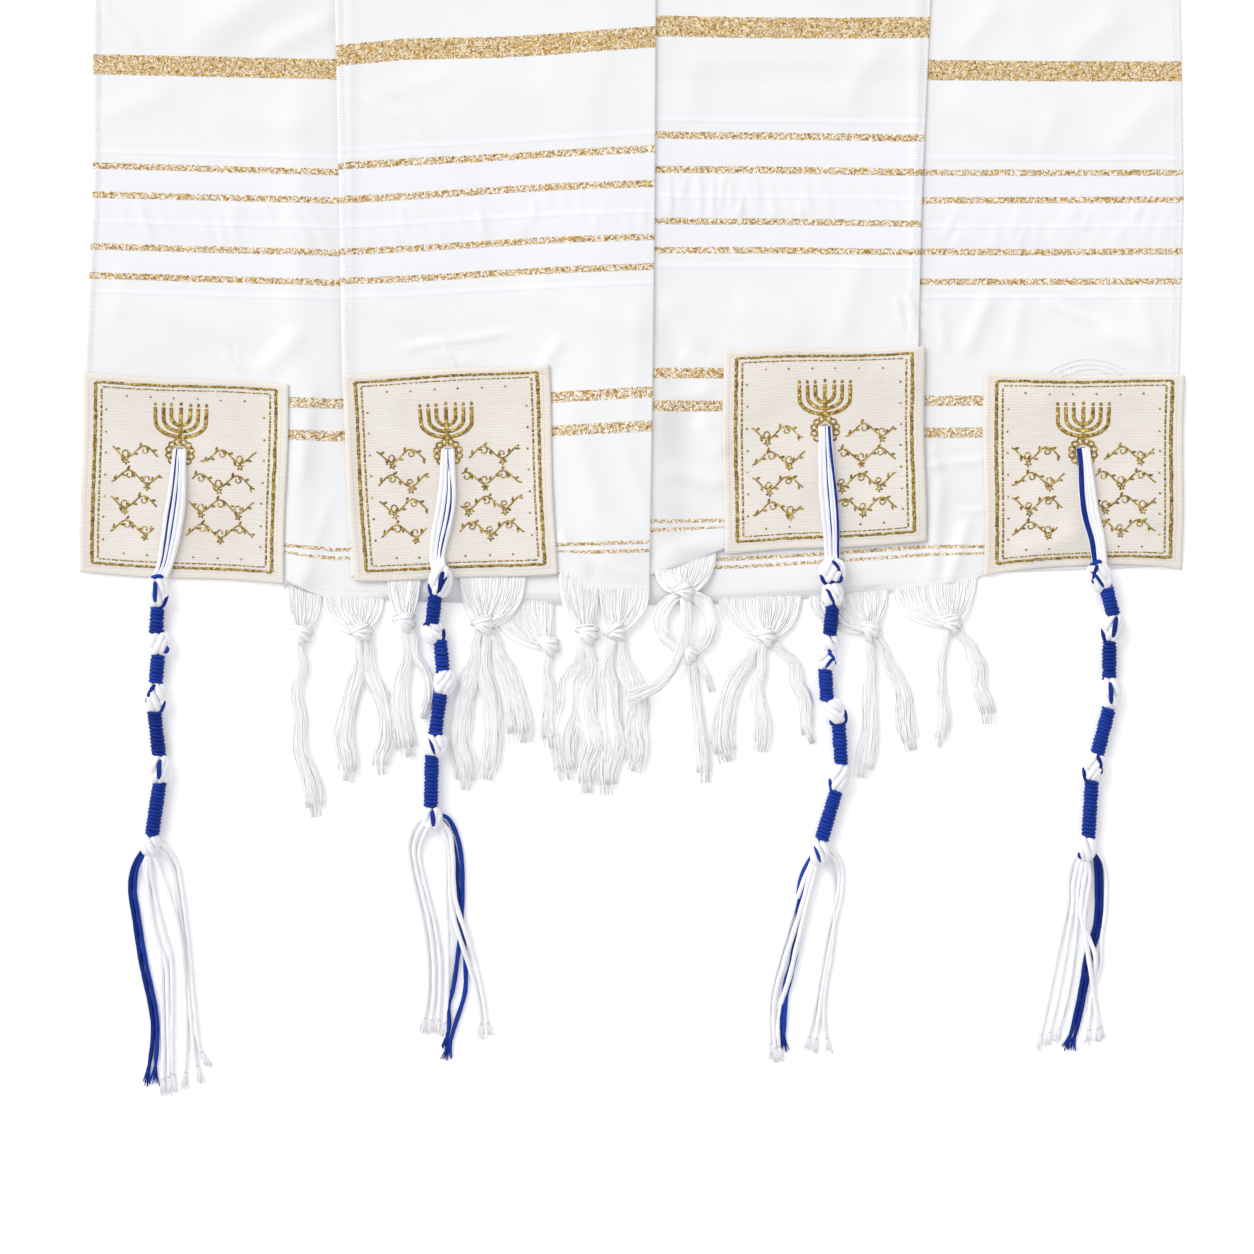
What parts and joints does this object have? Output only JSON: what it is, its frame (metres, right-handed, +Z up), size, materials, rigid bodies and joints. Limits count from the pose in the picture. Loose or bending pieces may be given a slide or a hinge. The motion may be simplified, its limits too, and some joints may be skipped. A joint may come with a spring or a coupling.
{
  "type": "tallit prayer shawl",
  "caption": "White fringed prayer shawl laid flat as a folded stole, with gold cross stripes, square corner patches and knotted blue and white corner tassels.",
  "frame": {"origin": "centre of the underside of the laid shawl, on the surface it lies on, without its corner tassels", "axes": "+X to the right and +Y up towards the neck as the shawl is seen from above, +Z up off the surface"},
  "size_m": [0.5752, 1.1703, 0.0171],
  "materials": {
    "cloth": "thin white satin weave with gold cross stripes",
    "patch": "cream ribbed weave with gold woven border",
    "string": "white twisted strings, one of them royal blue",
    "winding": "royal blue windings between white knots",
    "thread": "silky white fringe threads"
  },
  "bodies": {
    "root": {"cloth_left_end": "cloth", "cloth_right_end": "cloth", "cloth_neck": "cloth", "patch_1": "patch", "patch_2": "patch", "patch_3": "patch", "patch_4": "patch", "tzitzit_1_strings": "string", "tzitzit_2_strings": "string", "tzitzit_3_strings": "string", "tzitzit_4_strings": "string", "tzitzit_1_stem": "winding", "tzitzit_2_stem": "winding", "tzitzit_3_stem": "winding", "tzitzit_4_stem": "winding", "tzitzit_1_loose_ends": "string", "tzitzit_2_loose_ends": "string", "tzitzit_3_loose_ends": "string", "tzitzit_4_loose_ends": "string", "fringe_01": "thread", "fringe_02": "thread", "fringe_03": "thread", "fringe_04": "thread", "fringe_05": "thread", "fringe_06": "thread", "fringe_07": "thread", "fringe_08": "thread", "fringe_09": "thread", "fringe_10": "thread", "fringe_11": "thread"}
  },
  "joints": []
}
